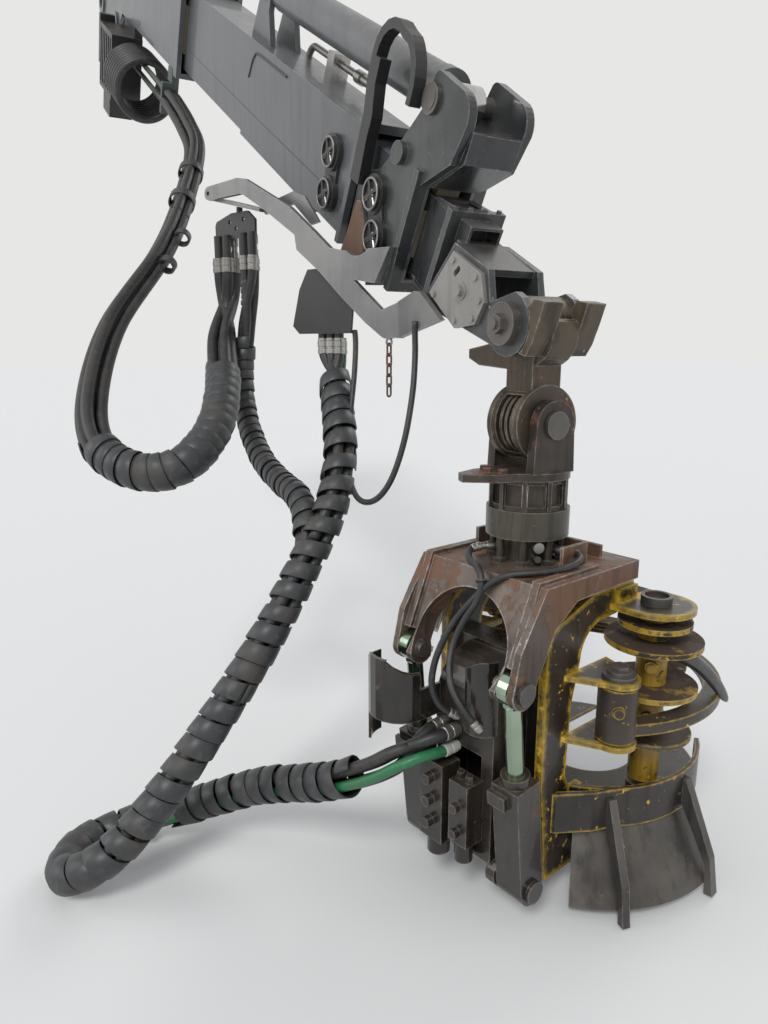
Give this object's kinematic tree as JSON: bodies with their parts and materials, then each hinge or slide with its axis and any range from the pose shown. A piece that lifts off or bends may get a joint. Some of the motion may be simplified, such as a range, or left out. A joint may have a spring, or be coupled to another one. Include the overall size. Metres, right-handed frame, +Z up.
{
  "type": "felling head on a telescopic jib",
  "caption": "Telescopic crane jib whose tip carries a felling head on a braked link and rotator, with gathering arms, a saw pan, tilt cylinders and spiral wrapped hoses.",
  "frame": {"origin": "middle of the root pin bore under the rear end of the jib's outer sleeve", "axes": "+X level, from the root pin towards the jib's tip; +Y along the root pin; +Z up"},
  "size_m": [5.2839, 2.0273, 4.5767],
  "materials": {
    "jib_paint": "satin",
    "black_paint": "satin",
    "yellow_paint": "satin, worn",
    "worn_steel": "matt",
    "bright_steel": "satin",
    "rod_chrome": "bright",
    "pad": "matt",
    "hose_rubber": "matt"
  },
  "bodies": {
    "sleeve": {"jib_sleeve": "jib_paint", "root_lugs": "jib_paint", "sleeve_pads": "pad", "hose_box": "black_paint", "feed_pipes": "black_paint", "hose_coil": "hose_rubber", "feed_hoses": "hose_rubber"},
    "stage_one": {"stage_one": "jib_paint", "stage_one_pads": "pad", "stage_one_adjusters": "black_paint", "cylinder_barrel": "jib_paint", "barrel_pin": "bright_steel", "steel_pipe": "bright_steel"},
    "stage_two": {"stage_two": "jib_paint", "stage_two_pads": "pad", "tip_bracket": "jib_paint", "tip_adjusters": "black_paint", "cylinder_rod": "rod_chrome", "rod_pin": "bright_steel", "hose_arch": "worn_steel", "guide_arm": "jib_paint", "rear_hanger": "black_paint", "front_hanger": "black_paint", "lifting_chain": "worn_steel", "hanger_hoses": "hose_rubber", "head_hoses": "hose_rubber"},
    "stage_three": {"stage_three": "jib_paint", "brake_covers": "worn_steel", "link_pin": "bright_steel"},
    "link": {"swing_link": "worn_steel", "brake_discs": "bright_steel"},
    "rotator": {"rotator_body": "worn_steel", "cross_pin": "bright_steel"},
    "frame": {"turn_ring": "worn_steel", "tilt_frame": "worn_steel", "tilt_pins": "bright_steel", "frame_fittings": "bright_steel", "motor_hoses": "hose_rubber"},
    "head": {"head_frame": "black_paint", "side_plates": "yellow_paint", "hose_hoods": "black_paint", "valve_block": "black_paint", "saw_pan": "black_paint", "saw_skids": "worn_steel", "arm_pins": "worn_steel"},
    "tilt_barrel_near": {"tilt_barrel_near": "black_paint"},
    "tilt_rod_near": {"tilt_rod_near": "rod_chrome"},
    "tilt_barrel_far": {"tilt_barrel_far": "black_paint"},
    "tilt_rod_far": {"tilt_rod_far": "rod_chrome"},
    "upper_arm_near": {"upper_arm_near": "yellow_paint"},
    "upper_arm_far": {"upper_arm_far": "yellow_paint"},
    "lower_arm_near": {"lower_arm_near": "worn_steel"},
    "lower_arm_far": {"lower_arm_far": "worn_steel"}
  },
  "joints": [
    {"name": "stage_one_slide", "type": "slide", "parent": "sleeve", "child": "stage_one", "axis": [0.866, 0, -0.5], "range_m": [-0.82, 0.2], "deforming": ["feed_hoses"]},
    {"name": "stage_two_slide", "type": "slide", "parent": "stage_one", "child": "stage_two", "axis": [0.866, 0, -0.5], "range_m": [0, 1.2]},
    {"name": "stage_three_slide", "type": "slide", "parent": "stage_two", "child": "stage_three", "axis": [0.866, 0, -0.5], "range_m": [0, 1.2], "deforming": ["head_hoses"]},
    {"name": "link_swing", "type": "hinge", "parent": "stage_three", "child": "link", "pos_m": [4.64786, 0, -2.37167], "axis": [0, 1, 0], "range_deg": [-60, 35]},
    {"name": "cross_swing", "type": "hinge", "parent": "link", "child": "rotator", "pos_m": [4.64786, 0, -2.63667], "axis": [1, 0, 0], "range_deg": [-25, 25]},
    {"name": "rotator_turn", "type": "hinge", "parent": "rotator", "child": "frame", "pos_m": [4.64786, 0, -2.92667], "axis": [0, 0, 1], "range_deg": [-170, 170]},
    {"name": "head_tilt", "type": "hinge", "parent": "frame", "child": "head", "pos_m": [4.61139, 0.20681, -3.15467], "axis": [0.9848, 0.1736, 0], "range_deg": [-18, 0], "deforming": ["motor_hoses"]},
    {"name": "tilt_barrel_near_turn", "type": "hinge", "parent": "head", "child": "tilt_barrel_near", "pos_m": [4.86872, -0.16414, -3.89667], "axis": [0.9848, 0.1736, 0], "range_deg": [-5.41, 0]},
    {"name": "tilt_rod_near_slide", "type": "slide", "parent": "tilt_barrel_near", "child": "tilt_rod_near", "axis": [0.0185, -0.1047, 0.9943], "range_m": [-0.14844, 0]},
    {"name": "tilt_barrel_far_turn", "type": "hinge", "parent": "head", "child": "tilt_barrel_far", "pos_m": [4.49646, -0.22978, -3.89667], "axis": [0.9848, 0.1736, 0], "range_deg": [-5.41, 0]},
    {"name": "tilt_rod_far_slide", "type": "slide", "parent": "tilt_barrel_far", "child": "tilt_rod_far", "axis": [0.0185, -0.1047, 0.9943], "range_m": [-0.14844, 0]},
    {"name": "upper_arm_near_turn", "type": "hinge", "parent": "head", "child": "upper_arm_near", "pos_m": [4.88019, 0.29482, -3.42667], "axis": [0, 0, 1], "range_deg": [-60, 0]},
    {"name": "upper_arm_far_turn", "type": "hinge", "parent": "head", "child": "upper_arm_far", "pos_m": [4.3287, 0.19758, -3.42667], "axis": [0, 0, 1], "range_deg": [0, 60]},
    {"name": "lower_arm_near_turn", "type": "hinge", "parent": "head", "child": "lower_arm_near", "pos_m": [4.93462, 0.10133, -3.42667], "axis": [0, 0, 1], "range_deg": [-50, 0]},
    {"name": "lower_arm_far_turn", "type": "hinge", "parent": "head", "child": "lower_arm_far", "pos_m": [4.34373, -0.00285, -3.42667], "axis": [0, 0, 1], "range_deg": [0, 50]}
  ],
  "couplings": [
    {"joint": "stage_three_slide", "follows": "stage_two_slide", "ratio": 1},
    {"joint": "tilt_barrel_near_turn", "follows": "head_tilt", "ratio": 0.2944},
    {"joint": "tilt_rod_near_slide", "follows": "head_tilt", "m_per_rad": 0.46324},
    {"joint": "tilt_barrel_far_turn", "follows": "head_tilt", "ratio": 0.2944},
    {"joint": "tilt_rod_far_slide", "follows": "head_tilt", "m_per_rad": 0.46324},
    {"joint": "upper_arm_far_turn", "follows": "upper_arm_near_turn", "ratio": -1},
    {"joint": "lower_arm_far_turn", "follows": "lower_arm_near_turn", "ratio": -1}
  ]
}
